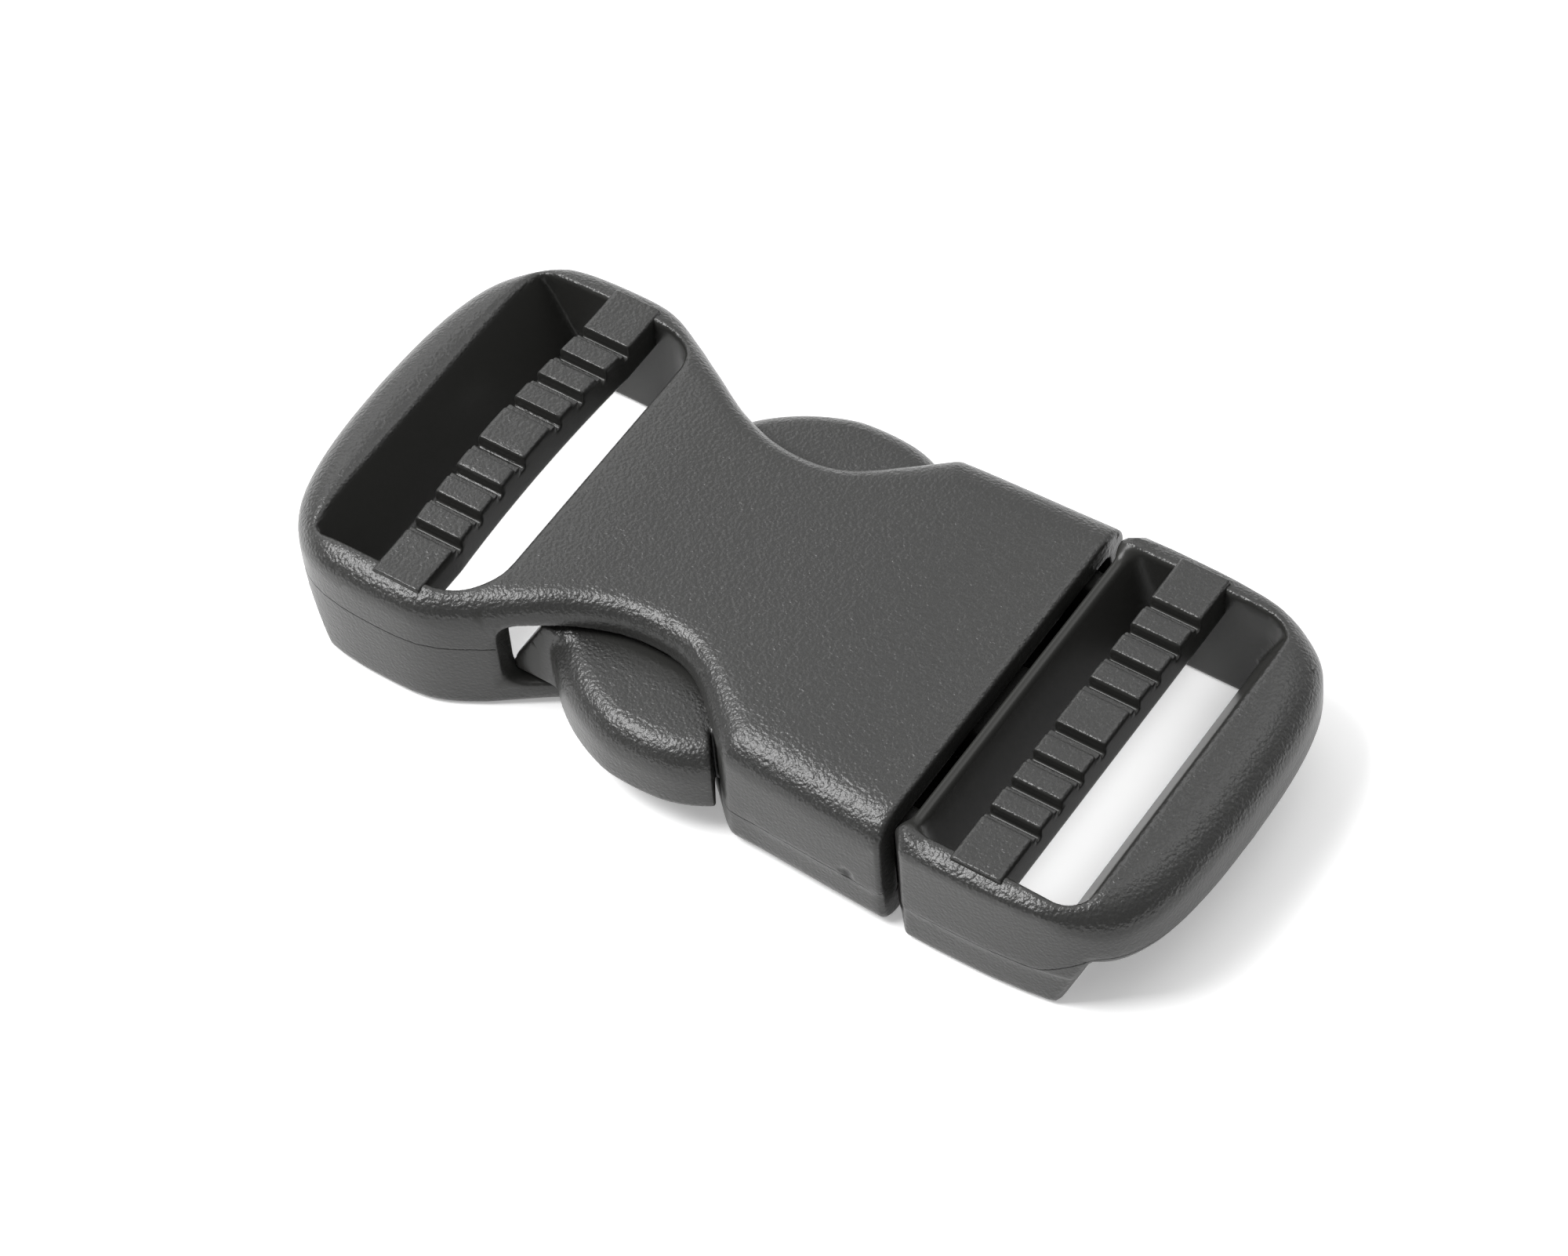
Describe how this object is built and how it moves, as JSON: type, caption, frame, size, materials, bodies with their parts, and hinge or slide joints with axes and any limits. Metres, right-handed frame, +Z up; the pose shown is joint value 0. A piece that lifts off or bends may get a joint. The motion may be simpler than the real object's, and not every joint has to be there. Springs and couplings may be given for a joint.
{
  "type": "side-release buckle",
  "caption": "Double-adjust side-release buckle for webbing: plug with two squeeze arms latched in a socket, toothed ladder bar and slots at each end.",
  "frame": {"origin": "middle of the latched buckle, on the plane it lies on", "axes": "+X along the strap towards the plug's end, +Y across the strap, +Z up from the side that lies on the wearer"},
  "size_m": [0.0678, 0.0308, 0.0106],
  "materials": {
    "socket_plastic": "fine moulded grain, satin",
    "plug_plastic": "fine moulded grain, satin"
  },
  "bodies": {
    "socket": {"socket_strap_frame": "socket_plastic", "socket_ladder_bar": "socket_plastic", "socket_shell": "socket_plastic"},
    "plug": {"plug_strap_frame": "plug_plastic", "plug_ladder_bar": "plug_plastic", "plug_base": "plug_plastic", "plug_guide_tongue": "plug_plastic"},
    "arm_left": {"release_arm_left": "plug_plastic"},
    "arm_right": {"release_arm_right": "plug_plastic"}
  },
  "joints": [
    {"name": "plug_slide", "type": "slide", "parent": "socket", "child": "plug", "axis": [1, 0, 0], "range_m": [0, 0.034], "deforming": ["release_arm_left", "release_arm_right"]},
    {"name": "arm_left_squeeze", "type": "hinge", "parent": "plug", "child": "arm_left", "pos_m": [0.0153, 0.011, 0.0052], "axis": [0, 0, 1], "range_deg": [0, 9.5], "stiffness_Nm_per_rad": 1},
    {"name": "arm_right_squeeze", "type": "hinge", "parent": "plug", "child": "arm_right", "pos_m": [0.0153, -0.011, 0.0052], "axis": [0, 0, -1], "range_deg": [0, 9.5], "stiffness_Nm_per_rad": 1}
  ]
}
